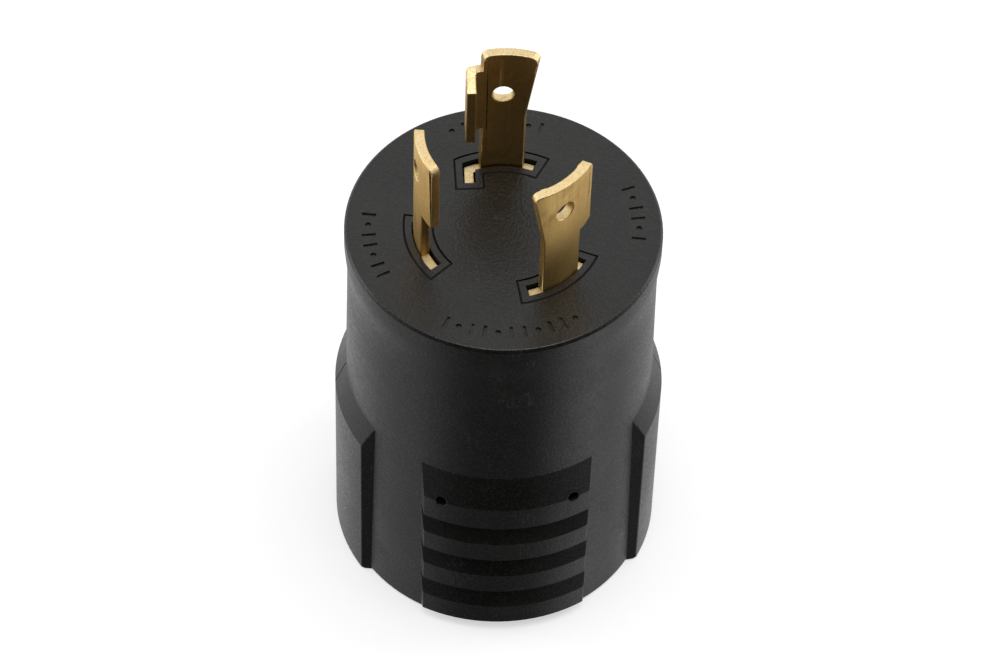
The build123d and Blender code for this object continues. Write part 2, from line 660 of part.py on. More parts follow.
def make_all():
    """Every piece of the adapter, keyed by node name."""
    tails = {
        "ground": (GROUND_TAIL, TAIL_WIDTH),
        "neutral": (NEUTRAL_CONTACT_TAIL, TAIL_WIDTH),
        "line_x": (LINE_X_CONTACT, TAIL_WIDTH),
        "line_y": (LINE_Y_CONTACT, DOUBLE_TAIL_WIDTH),
    }
    spans = {"ground": (GROUND_CONTACT, GROUND_LEAF)}
    slots = {"neutral": NEUTRAL_CONTACT, "line_x": LINE_X_CONTACT, "line_y": LINE_Y_CONTACT}
    for name, azimuth in slots.items():
        span = (azimuth - CONTACT_BEFORE, azimuth + CONTACT_AFTER)
        spans[name] = (span, span)
    blade_band_z = BLADE_TAIL_END + BAND_OFFSET
    contact_band_z = CONTACT_TAIL_END - BAND_OFFSET - BAND_HEIGHT
    blade_tails = (HOT_TAIL, NEUTRAL_TAIL, GROUND_TAIL)
    pieces = {
        "jacket": make_jacket(),
        "plug_core": make_plug_core(),
        "blade_retainer": make_blade_retainer(),
        "ground_blade": make_ground_blade(),
        "neutral_blade": make_line_blade(
            NEUTRAL_SLOT, NEUTRAL_NECK, NEUTRAL_HEAD, NEUTRAL_HOLE, NEUTRAL_TAIL
        ),
        "hot_blade": make_line_blade(HOT_SLOT, HOT_NECK, HOT_HEAD, HOT_HOLE, HOT_TAIL),
        "blade_crimps": Compound([band(azimuth, TAIL_WIDTH, blade_band_z) for azimuth in blade_tails]),
        "inner_tube": disc(CAVITY_RADIUS, COVER_TOP, CARRIER_BOTTOM)
        - disc(CAVITY_RADIUS - TUBE_WALL, COVER_TOP, CARRIER_BOTTOM),
        "receptacle_core": make_receptacle_core(),
        "contact_cover": make_contact_cover(tails.values()),
        "contact_crimps": Compound([band(*tail, contact_band_z) for tail in tails.values()]),
    }
    for name, (span, leaf_span) in spans.items():
        pieces[name + "_contact"] = make_contact(span, leaf_span, *tails[name])
        pieces[name + "_leaf"] = make_leaf(leaf_span)
        pieces[name + "_spring"] = make_spring(leaf_span)
    pieces.update(make_wires())
    return pieces


os.makedirs("parts", exist_ok=True)
for node, piece in make_all().items():
    export_step(piece, f"parts/{node}.step")
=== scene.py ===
"""Looks of a locking power adapter: a moulded jacket, three brass blades and the parts inside."""

import json
import math

import bmesh
import bpy
import numpy as np
from bpy.props import FloatProperty, FloatVectorProperty, IntProperty, PointerProperty
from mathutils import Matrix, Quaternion, Vector

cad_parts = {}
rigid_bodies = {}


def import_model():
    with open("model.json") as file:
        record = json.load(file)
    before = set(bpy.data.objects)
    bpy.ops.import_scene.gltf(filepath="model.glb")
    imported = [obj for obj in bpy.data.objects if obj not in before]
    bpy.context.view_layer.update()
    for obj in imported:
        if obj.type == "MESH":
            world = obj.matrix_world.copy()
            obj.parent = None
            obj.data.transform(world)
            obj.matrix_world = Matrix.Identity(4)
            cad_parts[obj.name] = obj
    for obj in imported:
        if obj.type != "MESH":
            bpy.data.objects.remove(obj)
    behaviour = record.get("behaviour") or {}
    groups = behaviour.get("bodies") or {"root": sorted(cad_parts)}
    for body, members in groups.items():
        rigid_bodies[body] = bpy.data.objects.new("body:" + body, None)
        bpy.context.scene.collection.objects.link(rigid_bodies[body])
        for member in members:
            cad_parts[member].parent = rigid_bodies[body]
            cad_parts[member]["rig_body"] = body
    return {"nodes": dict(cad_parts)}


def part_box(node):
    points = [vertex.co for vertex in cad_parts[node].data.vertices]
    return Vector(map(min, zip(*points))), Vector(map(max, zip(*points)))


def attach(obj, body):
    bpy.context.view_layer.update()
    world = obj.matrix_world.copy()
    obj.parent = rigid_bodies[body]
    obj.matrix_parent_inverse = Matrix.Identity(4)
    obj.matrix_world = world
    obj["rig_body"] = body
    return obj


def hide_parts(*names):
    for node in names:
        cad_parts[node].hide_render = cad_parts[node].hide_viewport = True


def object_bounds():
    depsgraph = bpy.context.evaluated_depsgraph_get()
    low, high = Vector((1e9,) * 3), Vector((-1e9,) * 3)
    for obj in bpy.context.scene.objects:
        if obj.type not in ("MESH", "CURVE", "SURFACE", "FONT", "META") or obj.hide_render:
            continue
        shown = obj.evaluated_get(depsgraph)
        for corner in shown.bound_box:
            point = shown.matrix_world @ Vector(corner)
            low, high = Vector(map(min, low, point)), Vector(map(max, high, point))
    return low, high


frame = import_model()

bl_info = {
    "name": "Locking Adapter Looks",
    "version": (1, 0, 0),
    "blender": (4, 5, 0),
    "location": "View3D > Sidebar > Adapter",
    "description": "Finishes the moulded jacket, blades and inner parts of a locking power adapter",
    "category": "Object",
}

MM = 0.001
OUTER_RADIUS = 23.0 * MM
GRIP_FROM = 20.0 * MM
SLANT_RISE = (0.2 * MM, 3.9 * MM)
SEAM_HALF = 0.3 * MM
WING_REACH = (23.8 * MM, 24.2 * MM)
FACE_ROUND_SHARE = 0.45
CLOUD_SCALE = 110.0
BURR_SCALE = 3400.0
HIDDEN_DEPTH = 1.5 * MM
ROUND_ABOVE = math.radians(28.0)
SHARP_ABOVE = math.radians(9.0)
LEVEL_WITHIN = math.radians(0.3)
CAD_LOW, CAD_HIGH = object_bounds()
BLADES = ("ground_blade", "neutral_blade", "hot_blade")
CARRIERS = ("plug_core", "receptacle_core")
NYLON_PARTS = ("blade_retainer", "contact_cover", "inner_tube")
CONTACT_NAMES = ("ground", "neutral", "line_x", "line_y")
WIRE_NAMES = ("ground", "neutral", "hot", "bridge")


def colour_property(name, description, default):
    """A colour that a user can change."""
    return FloatVectorProperty(
        name=name, description=description, default=default, subtype="COLOR", size=3, min=0.0, max=1.0
    )


def length_property(name, description, millimetres, most=5.0):
    """A small length that a user can change, given in millimetres and kept in metres."""
    return FloatProperty(
        name=name,
        description=description,
        default=millimetres * MM,
        min=0.0,
        max=most * MM,
        precision=5,
        unit="LENGTH",
    )


class JacketSettings(bpy.types.PropertyGroup):
    colour: colour_property("Colour", "Colour of the moulded jacket", (0.0082, 0.008, 0.0072))
    edge_round: length_property("Edge Round", "Radius left on the jacket's outer edges", 0.16)
    round_steps: IntProperty(
        name="Round Steps", description="Faces across each rounded edge", default=3, min=1, max=6
    )
    grain_size: length_property("Grain Size", "Width of one grain of the mould texture", 0.52)
    grain_depth: length_property("Grain Depth", "Depth of the mould texture", 0.055)
    seam_width: length_property("Seam Width", "Width of the parting line on both sides", 0.16)


class CarrierSettings(bpy.types.PropertyGroup):
    colour: colour_property("Carrier", "Colour of the blade and contact carriers", (0.0092, 0.009, 0.0083))
    nylon: colour_property("Nylon", "Colour of the inner tube, cover and retainer", (0.56, 0.52, 0.44))
    grain_size: length_property("Grain Size", "Width of one grain of the mould texture", 0.4)
    grain_depth: length_property("Grain Depth", "Depth of the mould texture", 0.06)


class BladeSettings(bpy.types.PropertyGroup):
    brass: colour_property("Brass", "Colour of clean rolled brass", (0.83, 0.55, 0.20))
    tarnish: colour_property("Tarnish", "Colour of brass that handling has darkened", (0.38, 0.21, 0.06))
    sheared: colour_property("Sheared Edge", "Colour of the freshly cut edges", (0.88, 0.73, 0.43))
    edge_round: length_property("Edge Round", "Radius left on the blade edges by tumbling", 0.2)
    round_steps: IntProperty(
        name="Round Steps", description="Faces across each rounded edge", default=3, min=1, max=6
    )


class ContactSettings(bpy.types.PropertyGroup):
    brass: colour_property("Contacts", "Colour of the fixed brass contacts", (0.78, 0.57, 0.27))
    bronze: colour_property("Leaves", "Colour of the sprung bronze leaves", (0.72, 0.43, 0.24))
    steel: colour_property("Springs", "Colour of the backing springs", (0.56, 0.56, 0.55))


class WiringSettings(bpy.types.PropertyGroup):
    copper: colour_property("Copper", "Colour of the conductors", (0.86, 0.45, 0.27))
    tin: colour_property("Crimps", "Colour of the tinned crimp bands", (0.66, 0.66, 0.64))
    green: colour_property("Ground", "Colour of the ground insulation", (0.03, 0.26, 0.08))
    white: colour_property("Neutral", "Colour of the neutral insulation", (0.72, 0.71, 0.67))
    black: colour_property("Line", "Colour of the line insulation", (0.016, 0.016, 0.017))


class StageSettings(bpy.types.PropertyGroup):
    floor: colour_property("Floor", "Colour of the floor", (0.7, 0.7, 0.7))
    lens: FloatProperty(
        name="Lens",
        description="Focal length in millimetres",
        default=165.6,
        min=10.0,
        max=400.0,
        unit="CAMERA",
    )
    distance: FloatProperty(
        name="Distance",
        description="From the camera to the aim",
        default=0.741,
        min=0.1,
        max=10.0,
        unit="LENGTH",
    )
    azimuth: FloatProperty(
        name="Azimuth",
        description="Turn of the camera to the left of the front",
        default=math.radians(4.9),
        subtype="ANGLE",
    )
    elevation: FloatProperty(
        name="Elevation",
        description="Camera angle above the floor",
        default=math.radians(51.7),
        subtype="ANGLE",
    )
    roll: FloatProperty(
        name="Roll",
        description="Lean of the picture to the right",
        default=math.radians(2.0),
        subtype="ANGLE",
    )
    aim_height: FloatProperty(
        name="Aim Height", description="Height of the aim above the floor", default=0.0449, unit="LENGTH"
    )
    key_power: FloatProperty(
        name="Key", description="Power of the overhead softbox in watts", default=2.6, min=0.0, unit="POWER"
    )
    side_power: FloatProperty(
        name="Sides", description="Power of each side softbox in watts", default=0.9, min=0.0, unit="POWER"
    )


class Finish:
    """A material whose nodes are added one at a time, from left to right."""

    def __init__(self, tree):
        self.tree = tree

    def node(self, kind, values=None, **settings):
        """A node of one kind, with its settings and its unlinked input values."""
        made = self.tree.nodes.new(kind)
        for key, value in settings.items():
            setattr(made, key, value)
        for key, value in (values or {}).items():
            made.inputs[key].default_value = value
        return made

    def link(self, source, target):
        """One wire from an output to an input."""
        self.tree.links.new(source, target)

    def maths(self, operation, first, second=0.0, clamp=False):
        """The result of one sum, with an output or a number on each side."""
        made = self.node("ShaderNodeMath", operation=operation, use_clamp=clamp)
        for index, value in enumerate((first, second)):
            if isinstance(value, bpy.types.NodeSocket):
                self.link(value, made.inputs[index])
            else:
                made.inputs[index].default_value = value
        return made.outputs[0]

    def between(self, source, low, high, to_low=0.0, to_high=1.0, smooth=True):
        """A value mapped from one range to another and held inside it."""
        kind = "SMOOTHSTEP" if smooth else "LINEAR"
        made = self.node("ShaderNodeMapRange", interpolation_type=kind, clamp=True)
        self.link(source, made.inputs["Value"])
        made.inputs["From Min"].default_value = low
        made.inputs["From Max"].default_value = high
        made.inputs["To Min"].default_value = to_low
        made.inputs["To Max"].default_value = to_high
        return made.outputs["Result"]

    def noise(self, vector, scale, detail=2.0, roughness=0.5, distortion=0.0):
        """Soft noise with a scale that is a number or an output."""
        made = self.node(
            "ShaderNodeTexNoise", {"Detail": detail, "Roughness": roughness, "Distortion": distortion}
        )
        self.link(vector, made.inputs["Vector"])
        if isinstance(scale, bpy.types.NodeSocket):
            self.link(scale, made.inputs["Scale"])
        else:
            made.inputs["Scale"].default_value = scale
        return made.outputs["Fac"]

    def blend(self, factor, first, second):
        """Colour between two, each an output or a colour."""
        made = self.node("ShaderNodeMix", data_type="RGBA", clamp_factor=True)
        self.link(factor, made.inputs["Factor"])
        for socket, value in ((made.inputs[6], first), (made.inputs[7], second)):
            if isinstance(value, bpy.types.NodeSocket):
                self.link(value, socket)
            else:
                socket.default_value = (*value, 1.0)
        return made.outputs[2]

    def stretched(self, vector, scale):
        """A vector with each axis multiplied by its own scale."""
        made = self.node("ShaderNodeMapping", {"Scale": scale})
        self.link(vector, made.inputs["Vector"])
        return made.outputs["Vector"]


def new_group(name, inputs, outputs):
    """An empty shader node group with named inputs (socket, name, default) and outputs (socket, name)."""
    tree = bpy.data.node_groups.new(name, "ShaderNodeTree")
    for kind, label, default in inputs:
        socket = tree.interface.new_socket(label, in_out="INPUT", socket_type=kind)
        if default is not None:
            socket.default_value = default
    for kind, label in outputs:
        tree.interface.new_socket(label, in_out="OUTPUT", socket_type=kind)
    finish = Finish(tree)
    return finish, finish.node("NodeGroupInput").outputs, finish.node("NodeGroupOutput").inputs


def moulded_grain():
    """Spark-eroded mould texture: round cells of one grain size, softened by noise of a third of it."""
    if "moulded_grain" in bpy.data.node_groups:
        return bpy.data.node_groups["moulded_grain"]
    make, given, out = new_group(
        "moulded_grain",
        [("NodeSocketVector", "Vector", None), ("NodeSocketFloat", "Grain Size", 0.0003)],
        [("NodeSocketFloat", "Height"), ("NodeSocketFloat", "Peak"), ("NodeSocketFloat", "Cloud")],
    )
    scale = make.maths("DIVIDE", 1.0, given["Grain Size"])
    warp = make.node("ShaderNodeTexNoise", {"Detail": 1.0, "Roughness": 0.5})
    make.link(given["Vector"], warp.inputs["Vector"])
    make.link(scale, warp.inputs["Scale"])
    shift = make.node("ShaderNodeVectorMath", operation="SCALE")
    make.link(warp.outputs["Color"], shift.inputs[0])
    make.link(make.maths("MULTIPLY", given["Grain Size"], 0.8), shift.inputs["Scale"])
    moved = make.node("ShaderNodeVectorMath", operation="ADD")
    make.link(given["Vector"], moved.inputs[0])
    make.link(shift.outputs[0], moved.inputs[1])
    cells = make.node("ShaderNodeTexVoronoi", {"Randomness": 1.0}, feature="SMOOTH_F1")
    cells.inputs["Smoothness"].default_value = 0.6
    make.link(moved.outputs[0], cells.inputs["Vector"])
    make.link(scale, cells.inputs["Scale"])
    fine = make.noise(given["Vector"], make.maths("MULTIPLY", scale, 2.6), 1.0)
    dome = make.maths("SUBTRACT", 1.0, cells.outputs["Distance"], clamp=True)
    height = make.maths("ADD", make.maths("MULTIPLY", dome, 0.75), make.maths("MULTIPLY", fine, 0.25))
    make.link(height, out["Height"])
    make.link(make.between(height, 0.5, 0.8), out["Peak"])
    make.link(make.noise(given["Vector"], CLOUD_SCALE, 4.0, 0.6, 0.3), out["Cloud"])
    return make.tree


def handling_wear():
    """Where hands rub a part smooth: broad patches, broken up by finer noise, and thin random scratches."""
    if "handling_wear" in bpy.data.node_groups:
        return bpy.data.node_groups["handling_wear"]
    make, given, out = new_group(
        "handling_wear",
        [("NodeSocketVector", "Vector", None), ("NodeSocketFloat", "Patch Size", 0.02)],
        [("NodeSocketFloat", "Rubbed"), ("NodeSocketFloat", "Scratches"), ("NodeSocketFloat", "Specks")],
    )
    scale = make.maths("DIVIDE", 1.0, given["Patch Size"])
    broad = make.noise(given["Vector"], scale, 3.0, 0.6, 0.4)
    broken = make.noise(given["Vector"], make.maths("MULTIPLY", scale, 14.0), 4.0, 0.7)
    patches = make.maths("MULTIPLY", make.between(broad, 0.42, 0.66), make.between(broken, 0.3, 0.65))
    make.link(patches, out["Rubbed"])
    lines = make.node("ShaderNodeTexNoise", {"Detail": 3.0, "Roughness": 0.55, "Distortion": 1.2})
    make.link(make.stretched(given["Vector"], (1.0, 1.3, 0.16)), lines.inputs["Vector"])
    make.link(make.maths("MULTIPLY", scale, 22.0), lines.inputs["Scale"])
    near = make.maths("ABSOLUTE", make.maths("SUBTRACT", lines.outputs["Fac"], 0.5))
    thin = make.between(near, 0.0, 0.012, 1.0, 0.0)
    rare = make.between(make.noise(given["Vector"], make.maths("MULTIPLY", scale, 3.0), 2.0), 0.55, 0.7)
    make.link(make.maths("MULTIPLY", thin, rare), out["Scratches"])
    dots = make.node("ShaderNodeTexVoronoi", {"Randomness": 1.0}, feature="F1")
    make.link(given["Vector"], dots.inputs["Vector"])
    make.link(make.maths("MULTIPLY", scale, 16.0), dots.inputs["Scale"])
    make.link(make.between(dots.outputs["Distance"], 0.06, 0.1, 1.0, 0.0), out["Specks"])
    return make.tree


def rolled_metal():
    """Strip metal from the mill: streaks along the rolling direction, dull stains and small pits."""
    if "rolled_metal" in bpy.data.node_groups:
        return bpy.data.node_groups["rolled_metal"]
    make, given, out = new_group(
        "rolled_metal",
        [
            ("NodeSocketVector", "Vector", None),
            ("NodeSocketVector", "Streak Stretch", (1.0, 1.0, 0.06)),
            ("NodeSocketFloat", "Streak Size", 0.00025),
            ("NodeSocketFloat", "Stain Size", 0.006),
        ],
        [("NodeSocketFloat", "Streak"), ("NodeSocketFloat", "Stain"), ("NodeSocketFloat", "Pit")],
    )
    drawn = make.node("ShaderNodeVectorMath", operation="MULTIPLY")
    make.link(given["Vector"], drawn.inputs[0])
    make.link(given["Streak Stretch"], drawn.inputs[1])
    streak_scale = make.maths("DIVIDE", 1.0, given["Streak Size"])
    fine = make.noise(drawn.outputs[0], streak_scale, 3.0, 0.6)
    wide = make.noise(drawn.outputs[0], make.maths("MULTIPLY", streak_scale, 0.22), 2.0, 0.5)
    streak = make.maths("ADD", make.maths("MULTIPLY", fine, 0.55), make.maths("MULTIPLY", wide, 0.45))
    make.link(make.between(streak, 0.3, 0.7, smooth=False), out["Streak"])
    stain_scale = make.maths("DIVIDE", 1.0, given["Stain Size"])
    stains = make.noise(given["Vector"], stain_scale, 5.0, 0.62, 0.8)
    make.link(make.between(stains, 0.42, 0.72), out["Stain"])
    pits = make.node("ShaderNodeTexVoronoi", {"Randomness": 1.0}, feature="F1")
    make.link(given["Vector"], pits.inputs["Vector"])
    make.link(make.maths("MULTIPLY", stain_scale, 9.0), pits.inputs["Scale"])
    make.link(make.between(pits.outputs["Distance"], 0.08, 0.16, 1.0, 0.0), out["Pit"])
    return make.tree


def cut_edges():
    """Narrow faces of a strip bent about the Z axis: the normal there isn't along the radius."""
    if "cut_edges" in bpy.data.node_groups:
        return bpy.data.node_groups["cut_edges"]
    make, given, out = new_group(
        "cut_edges",
        [("NodeSocketVector", "Vector", None), ("NodeSocketVector", "Normal", None)],
        [("NodeSocketFloat", "Edge"), ("NodeSocketFloat", "Upright"), ("NodeSocketFloat", "Burr")],
    )
    flat = make.stretched(given["Vector"], (1.0, 1.0, 0.0))
    radius = make.node("ShaderNodeVectorMath", operation="NORMALIZE")
    make.link(flat, radius.inputs[0])
    across = make.node("ShaderNodeVectorMath", operation="DOT_PRODUCT")
    make.link(radius.outputs[0], across.inputs[0])
    make.link(given["Normal"], across.inputs[1])
    facing = make.maths("ABSOLUTE", across.outputs["Value"])
    edge = make.between(facing, 0.45, 0.85, 1.0, 0.0)
    make.link(edge, out["Edge"])
    axes = make.node("ShaderNodeSeparateXYZ")
    make.link(given["Normal"], axes.inputs[0])
    upright = make.between(make.maths("ABSOLUTE", axes.outputs["Z"]), 0.3, 0.7, 1.0, 0.0)
    make.link(make.maths("MULTIPLY", edge, upright), out["Upright"])
    torn = make.noise(make.stretched(given["Vector"], (1.0, 1.0, 0.35)), BURR_SCALE, 3.0, 0.6)
    make.link(make.maths("MULTIPLY", edge, torn), out["Burr"])
    return make.tree


def new_material(name):
    """A material with only a Principled shader on its output, and its object coordinates and normal."""
    material = bpy.data.materials.new(name)
    material.use_nodes = True
    material.node_tree.nodes.clear()
    make = Finish(material.node_tree)
    shader = make.node("ShaderNodeBsdfPrincipled")
    output = make.node("ShaderNodeOutputMaterial")
    make.link(shader.outputs["BSDF"], output.inputs["Surface"])
    place = make.node("ShaderNodeTexCoord")
    return material, make, shader, place.outputs


def use_group(make, tree, links, values=None):
    """The outputs of a shared effect, with this material's own values."""
    made = make.node("ShaderNodeGroup", node_tree=tree)
    for key, source in links.items():
        make.link(source, made.inputs[key])
    for key, value in (values or {}).items():
        made.inputs[key].default_value = value
    return made.outputs


def shade_of(colour, factor):
    """A colour made lighter or darker by a factor, held below white."""
    return tuple(min(1.0, channel * factor) for channel in colour)


def moulded_plastic(
    name, colour, grain_size, grain_depth, roughness, rubbed=0.1, seam_width=0.0, painted_slope_shade=False
):
    """Moulded plastic: grain deepest on level faces, dull in its pits, smooth and light where rubbed.

    With the painted slope shade set, every face that isn't square to the Z axis is dull and painted dark: a
    painted shade on walls and chamfers."""
    material, make, shader, place = new_material(name)
    grain = use_group(make, moulded_grain(), {"Vector": place["Object"]}, {"Grain Size": grain_size})
    wear = use_group(make, handling_wear(), {"Vector": place["Object"]}, {"Patch Size": 0.016})
    # painted shade and painted sheen: the colour darkens in the grain's pits and lightens on its peaks,
    # standing in for light on the mould texture
    shade = make.blend(grain["Peak"], shade_of(colour, 0.45), shade_of(colour, 2.0))
    shade = make.blend(make.maths("MULTIPLY", grain["Cloud"], 0.35), shade, shade_of(colour, 1.8))
    shade = make.blend(make.maths("MULTIPLY", wear["Rubbed"], 0.5), shade, shade_of(colour, 2.4))
    shade = make.blend(make.maths("MULTIPLY", wear["Specks"], 0.35), shade, shade_of(colour, 7.0))
    axes = make.node("ShaderNodeSeparateXYZ")
    make.link(place["Normal"], axes.inputs[0])
    level = make.maths("ABSOLUTE", axes.outputs["Z"])
    rough = make.between(grain["Peak"], 0.0, 1.0, roughness + 0.12, roughness, smooth=False)
    rough = make.maths("SUBTRACT", rough, make.maths("MULTIPLY", wear["Rubbed"], rubbed))
    rough = make.maths("SUBTRACT", rough, make.maths("MULTIPLY", wear["Scratches"], 0.1))
    height = make.maths("MULTIPLY", grain["Height"], make.between(level, 0.5, 0.9, 0.5, 1.0))
    height = make.maths("SUBTRACT", height, make.maths("MULTIPLY", wear["Scratches"], 0.25))
    if painted_slope_shade:
        # painted shade: faces not square to the Z axis get a much darker colour, standing in for the shade
        # on walls and chamfers; they are also rougher
        recess = make.between(level, 0.75, 0.95, 1.0, 0.0)
        shade = make.blend(recess, shade, shade_of(colour, 0.2))
        rough = make.maths("ADD", rough, make.maths("MULTIPLY", recess, 0.5), clamp=True)
    if seam_width:
        shade, height = parting_line(make, place["Object"], shade, height, seam_width, colour)
    bump = make.node("ShaderNodeBump", {"Strength": 1.0, "Distance": grain_depth})
    make.link(height, bump.inputs["Height"])
    make.link(shade, shader.inputs["Base Color"])
    make.link(rough, shader.inputs["Roughness"])
    make.link(bump.outputs["Normal"], shader.inputs["Normal"])
    shader.inputs["IOR"].default_value = 1.5
    return material


def parting_line(make, vector, shade, height, width, colour):
    """The line where the two mould halves meet: the plane through the Z axis and both wings."""
    axes = make.node("ShaderNodeSeparateXYZ")
    make.link(vector, axes.inputs[0])
    off = make.maths("ABSOLUTE", axes.outputs["Y"])
    line = make.between(off, width * 0.35, width * 0.65, 1.0, 0.0)
    outside = make.between(make.maths("ABSOLUTE", axes.outputs["X"]), *WING_REACH)
    line = make.maths("MULTIPLY", line, outside)
    shade = make.blend(make.maths("MULTIPLY", line, 0.85), shade, shade_of(colour, 0.25))
    return shade, make.maths("SUBTRACT", height, make.maths("MULTIPLY", line, 1.6))


def strip_metal(name, clean, stained, sheared, roughness, streak_size=0.00025, stain_share=0.6):
    """Rolled strip: streaked roughness, stained patches, and paler, torn cut edges, with painted shade on
    the upright ones.
    """
    material, make, shader, place = new_material(name)
    mill = use_group(make, rolled_metal(), {"Vector": place["Object"]}, {"Streak Size": streak_size})
    edge = use_group(make, cut_edges(), {"Vector": place["Object"], "Normal": place["Normal"]})
    wear = use_group(make, handling_wear(), {"Vector": place["Object"]}, {"Patch Size": 0.007})
    shade = make.blend(mill["Streak"], shade_of(clean, 0.86), shade_of(clean, 1.06))
    shade = make.blend(make.maths("MULTIPLY", mill["Stain"], stain_share), shade, stained)
    shade = make.blend(make.maths("MULTIPLY", mill["Pit"], 0.5), shade, shade_of(stained, 0.6))
    shade = make.blend(make.maths("MULTIPLY", wear["Scratches"], 0.5), shade, sheared)
    torn = make.blend(make.between(edge["Burr"], 0.4, 0.75), sheared, shade_of(clean, 0.8))
    shade = make.blend(edge["Edge"], shade, torn)
    # painted shade: upright cut edges get a darker brass than the edges facing up, standing in for how light
    # falls on them; the streaks in it are the real rolling marks
    painted_upright_shade = make.blend(mill["Streak"], shade_of(stained, 0.7), shade_of(clean, 0.75))
    shade = make.blend(edge["Upright"], shade, painted_upright_shade)
    rough = make.between(mill["Streak"], 0.0, 1.0, roughness + 0.07, roughness - 0.05, smooth=False)
    rough = make.maths("ADD", rough, make.maths("MULTIPLY", mill["Stain"], 0.12))
    rough = make.maths("ADD", rough, make.maths("MULTIPLY", edge["Edge"], 0.08))
    height = make.maths("SUBTRACT", mill["Streak"], mill["Pit"])
    height = make.maths("ADD", height, make.maths("MULTIPLY", edge["Burr"], 2.0))
    bump = make.node("ShaderNodeBump", {"Strength": 1.0, "Distance": 0.000004})
    make.link(height, bump.inputs["Height"])
    make.link(shade, shader.inputs["Base Color"])
    make.link(rough, shader.inputs["Roughness"])
    make.link(bump.outputs["Normal"], shader.inputs["Normal"])
    shader.inputs["Metallic"].default_value = 1.0
    return material


def read(items, field, width=1, kind=np.float32):
    """One field of all items of a mesh, as an array."""
    values = np.zeros(len(items) * width, kind)
    items.foreach_get(field, values)
    return values.reshape(-1, width) if width > 1 else values


def fold_angles(mesh):
    """Angle between the faces at each edge: plus where it stands out, minus in a corner, 0 if open."""
    loop_edge = read(mesh.loops, "edge_index", kind=np.int32)
    loop_face = np.repeat(np.arange(len(mesh.polygons)), read(mesh.polygons, "loop_total", kind=np.int32))
    normal = read(mesh.polygons, "normal", 3)
    middle = read(mesh.polygons, "center", 3)
    order = np.argsort(loop_edge, kind="stable")
    used = np.bincount(loop_edge, minlength=len(mesh.edges))
    first = np.concatenate([[0], np.cumsum(used)[:-1]])
    pair = used == 2
    one, other = loop_face[order[first[pair]]], loop_face[order[first[pair] + 1]]
    angle = np.zeros(len(mesh.edges))
    turn = np.arccos(np.clip((normal[one] * normal[other]).sum(1), -1.0, 1.0))
    angle[pair] = turn * np.where((normal[one] * (middle[other] - middle[one])).sum(1) < 0.0, 1.0, -1.0)
    return angle


def merged_copy(node, name):
    """A copy of a CAD node whose loose triangles share their corners."""
    shape = bmesh.new()
    shape.from_mesh(frame["nodes"][node].data)
    bmesh.ops.remove_doubles(shape, verts=shape.verts, dist=1e-7)
    bmesh.ops.dissolve_degenerate(shape, edges=shape.edges, dist=1e-7)
    bmesh.ops.dissolve_limit(shape, angle_limit=LEVEL_WITHIN, verts=shape.verts, edges=shape.edges)
    mesh = bpy.data.meshes.new(name)
    shape.to_mesh(mesh)
    shape.free()
    if mesh.attributes.get("custom_normal"):
        mesh.attributes.remove(mesh.attributes["custom_normal"])
    mesh.shade_smooth()
    return mesh


def rounded(node, name, radius, steps, share, material):
    """A CAD node with rounded edges. share(start, end) is how much of the radius each edge gets."""
    mesh = merged_copy(node, name)
    angle = fold_angles(mesh)
    corner = read(mesh.vertices, "co", 3)
    ends = read(mesh.edges, "vertices", 2, np.int32)
    wanted = share(corner[ends[:, 0]], corner[ends[:, 1]]) * (angle > ROUND_ABOVE)
    weight = mesh.attributes.new("bevel_weight_edge", "FLOAT", "EDGE")
    weight.data.foreach_set("value", wanted.astype(np.float32))
    crease = mesh.attributes.get("sharp_edge") or mesh.attributes.new("sharp_edge", "BOOLEAN", "EDGE")
    crease.data.foreach_set("value", (np.abs(angle) > SHARP_ABOVE) & (wanted <= 0.0))
    mesh.materials.clear()
    mesh.materials.append(material)
    piece = bpy.data.objects.new(name, mesh)
    bpy.context.scene.collection.objects.link(piece)
    bevel = piece.modifiers.new("edge_round", "BEVEL")
    bevel.limit_method = "WEIGHT"
    bevel.width = radius
    bevel.segments = steps
    bevel.use_clamp_overlap = False
    bevel.harden_normals = True
    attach(piece, frame["nodes"][node]["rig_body"])
    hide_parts(node)
    return piece


def dress(nodes, material):
    """Gives CAD nodes their material."""
    for node in nodes:
        for socket in frame["nodes"][node].material_slots:
            socket.material = material


class ADAPTER_OT_jacket(bpy.types.Operator):
    """Makes the moulded jacket with rounded edges, mould grain and parting line"""

    bl_idname = "adapter.jacket"
    bl_label = "Jacket"

    def execute(self, context):
        wanted = context.scene.adapter_jacket
        material = moulded_plastic(
            "jacket_grained",
            tuple(wanted.colour),
            wanted.grain_size,
            wanted.grain_depth,
            0.22,
            rubbed=0.08,
            seam_width=wanted.seam_width,
        )

        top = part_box("jacket")[1][2]

        def outer(start, end):
            """All of the radius outside, except on the seam and on the ribs' slanting sides.

            The holes and marks in the plug face get a share of it, and edges inside get none."""
            radius = np.minimum(np.hypot(start[:, 0], start[:, 1]), np.hypot(end[:, 0], end[:, 1]))
            seam = np.maximum(np.abs(start[:, 1]), np.abs(end[:, 1])) < SEAM_HALF
            along = np.abs(end[:, 2] - start[:, 2])
            slanting = (np.abs(start[:, 1]) > GRIP_FROM) & (along > SLANT_RISE[0]) & (along < SLANT_RISE[1])
            face = np.minimum(start[:, 2], end[:, 2]) > top - 0.01 * MM
            return np.where(radius > OUTER_RADIUS, 1.0 * ~seam * ~slanting, FACE_ROUND_SHARE * face)

        rounded("jacket", "jacket_rounded", wanted.edge_round, wanted.round_steps, outer, material)
        return {"FINISHED"}


